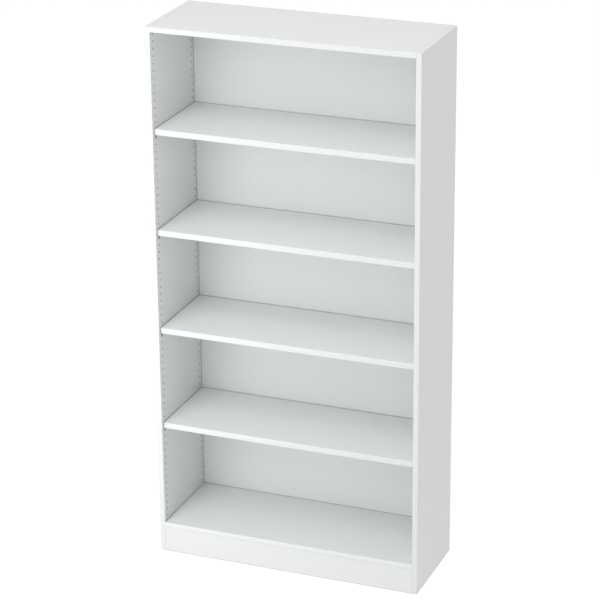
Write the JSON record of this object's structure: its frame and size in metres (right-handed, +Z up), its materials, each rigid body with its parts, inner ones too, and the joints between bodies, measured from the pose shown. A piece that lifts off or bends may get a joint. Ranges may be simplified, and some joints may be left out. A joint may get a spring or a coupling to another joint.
{
  "type": "bookcase with adjustable shelves",
  "caption": "Tall white open bookcase: loose shelves on plug-in supports between drilled side panels, over a plinth.",
  "frame": {"origin": "on the floor under the middle of the carcass", "axes": "+Z up, -Y towards the open front, +X to the right seen from the front"},
  "size_m": [0.942, 0.35, 1.88],
  "materials": {
    "board": "white melamine-faced chipboard, satin with a very fine pearl texture",
    "edge_band": "white ABS edge banding, satin",
    "back_board": "white lacquered hardboard, satin",
    "support_steel": "nickel-plated steel",
    "fitting_zinc": "die-cast zinc and zinc-plated steel",
    "dowel_beech": "plain fluted beech",
    "cover_cap": "white moulded plastic"
  },
  "bodies": {
    "carcass": {"side_panel_left": "board", "side_edge_band_left": "edge_band", "side_panel_right": "board", "side_edge_band_right": "edge_band", "top_panel": "board", "top_edge_band": "edge_band", "bottom_panel": "board", "bottom_edge_band": "edge_band", "plinth_board": "board", "back_panel": "back_board", "cam_top_front_left": "fitting_zinc", "cam_bolt_top_front_left": "fitting_zinc", "cam_top_rear_left": "fitting_zinc", "cam_bolt_top_rear_left": "fitting_zinc", "dowel_top_left": "dowel_beech", "cam_top_front_right": "fitting_zinc", "cam_bolt_top_front_right": "fitting_zinc", "cam_top_rear_right": "fitting_zinc", "cam_bolt_top_rear_right": "fitting_zinc", "dowel_top_right": "dowel_beech", "cam_bottom_front_left": "fitting_zinc", "cam_bolt_bottom_front_left": "fitting_zinc", "cam_bottom_rear_left": "fitting_zinc", "cam_bolt_bottom_rear_left": "fitting_zinc", "dowel_bottom_left": "dowel_beech", "cam_bottom_front_right": "fitting_zinc", "cam_bolt_bottom_front_right": "fitting_zinc", "cam_bottom_rear_right": "fitting_zinc", "cam_bolt_bottom_rear_right": "fitting_zinc", "dowel_bottom_right": "dowel_beech", "dowel_plinth_left": "dowel_beech", "dowel_plinth_right": "dowel_beech", "cover_cap_front_left": "cover_cap", "cover_cap_rear_left": "cover_cap", "cover_cap_front_right": "cover_cap", "cover_cap_rear_right": "cover_cap"},
    "shelf_1_body": {"shelf_1": "board", "shelf_1_edge_band": "edge_band"},
    "shelf_2_body": {"shelf_2": "board", "shelf_2_edge_band": "edge_band"},
    "shelf_3_body": {"shelf_3": "board", "shelf_3_edge_band": "edge_band"},
    "shelf_4_body": {"shelf_4": "board", "shelf_4_edge_band": "edge_band"},
    "support_1_front_left_body": {"support_1_front_left": "support_steel"},
    "support_1_front_right_body": {"support_1_front_right": "support_steel"},
    "support_1_rear_left_body": {"support_1_rear_left": "support_steel"},
    "support_1_rear_right_body": {"support_1_rear_right": "support_steel"},
    "support_2_front_left_body": {"support_2_front_left": "support_steel"},
    "support_2_front_right_body": {"support_2_front_right": "support_steel"},
    "support_2_rear_left_body": {"support_2_rear_left": "support_steel"},
    "support_2_rear_right_body": {"support_2_rear_right": "support_steel"},
    "support_3_front_left_body": {"support_3_front_left": "support_steel"},
    "support_3_front_right_body": {"support_3_front_right": "support_steel"},
    "support_3_rear_left_body": {"support_3_rear_left": "support_steel"},
    "support_3_rear_right_body": {"support_3_rear_right": "support_steel"},
    "support_4_front_left_body": {"support_4_front_left": "support_steel"},
    "support_4_front_right_body": {"support_4_front_right": "support_steel"},
    "support_4_rear_left_body": {"support_4_rear_left": "support_steel"},
    "support_4_rear_right_body": {"support_4_rear_right": "support_steel"}
  },
  "joints": [
    {"name": "shelf_1_draw", "type": "slide", "parent": "carcass", "child": "shelf_1_body", "axis": [0, -1, 0], "range_m": [0, 0.35]},
    {"name": "shelf_2_draw", "type": "slide", "parent": "carcass", "child": "shelf_2_body", "axis": [0, -1, 0], "range_m": [0, 0.35]},
    {"name": "shelf_3_draw", "type": "slide", "parent": "carcass", "child": "shelf_3_body", "axis": [0, -1, 0], "range_m": [0, 0.35]},
    {"name": "shelf_4_draw", "type": "slide", "parent": "carcass", "child": "shelf_4_body", "axis": [0, -1, 0], "range_m": [0, 0.35]},
    {"name": "support_1_front_left_pull", "type": "slide", "parent": "carcass", "child": "support_1_front_left_body", "axis": [1, 0, 0], "range_m": [0, 0.012]},
    {"name": "support_1_front_right_pull", "type": "slide", "parent": "carcass", "child": "support_1_front_right_body", "axis": [-1, 0, 0], "range_m": [0, 0.012]},
    {"name": "support_1_rear_left_pull", "type": "slide", "parent": "carcass", "child": "support_1_rear_left_body", "axis": [1, 0, 0], "range_m": [0, 0.012]},
    {"name": "support_1_rear_right_pull", "type": "slide", "parent": "carcass", "child": "support_1_rear_right_body", "axis": [-1, 0, 0], "range_m": [0, 0.012]},
    {"name": "support_2_front_left_pull", "type": "slide", "parent": "carcass", "child": "support_2_front_left_body", "axis": [1, 0, 0], "range_m": [0, 0.012]},
    {"name": "support_2_front_right_pull", "type": "slide", "parent": "carcass", "child": "support_2_front_right_body", "axis": [-1, 0, 0], "range_m": [0, 0.012]},
    {"name": "support_2_rear_left_pull", "type": "slide", "parent": "carcass", "child": "support_2_rear_left_body", "axis": [1, 0, 0], "range_m": [0, 0.012]},
    {"name": "support_2_rear_right_pull", "type": "slide", "parent": "carcass", "child": "support_2_rear_right_body", "axis": [-1, 0, 0], "range_m": [0, 0.012]},
    {"name": "support_3_front_left_pull", "type": "slide", "parent": "carcass", "child": "support_3_front_left_body", "axis": [1, 0, 0], "range_m": [0, 0.012]},
    {"name": "support_3_front_right_pull", "type": "slide", "parent": "carcass", "child": "support_3_front_right_body", "axis": [-1, 0, 0], "range_m": [0, 0.012]},
    {"name": "support_3_rear_left_pull", "type": "slide", "parent": "carcass", "child": "support_3_rear_left_body", "axis": [1, 0, 0], "range_m": [0, 0.012]},
    {"name": "support_3_rear_right_pull", "type": "slide", "parent": "carcass", "child": "support_3_rear_right_body", "axis": [-1, 0, 0], "range_m": [0, 0.012]},
    {"name": "support_4_front_left_pull", "type": "slide", "parent": "carcass", "child": "support_4_front_left_body", "axis": [1, 0, 0], "range_m": [0, 0.012]},
    {"name": "support_4_front_right_pull", "type": "slide", "parent": "carcass", "child": "support_4_front_right_body", "axis": [-1, 0, 0], "range_m": [0, 0.012]},
    {"name": "support_4_rear_left_pull", "type": "slide", "parent": "carcass", "child": "support_4_rear_left_body", "axis": [1, 0, 0], "range_m": [0, 0.012]},
    {"name": "support_4_rear_right_pull", "type": "slide", "parent": "carcass", "child": "support_4_rear_right_body", "axis": [-1, 0, 0], "range_m": [0, 0.012]}
  ]
}
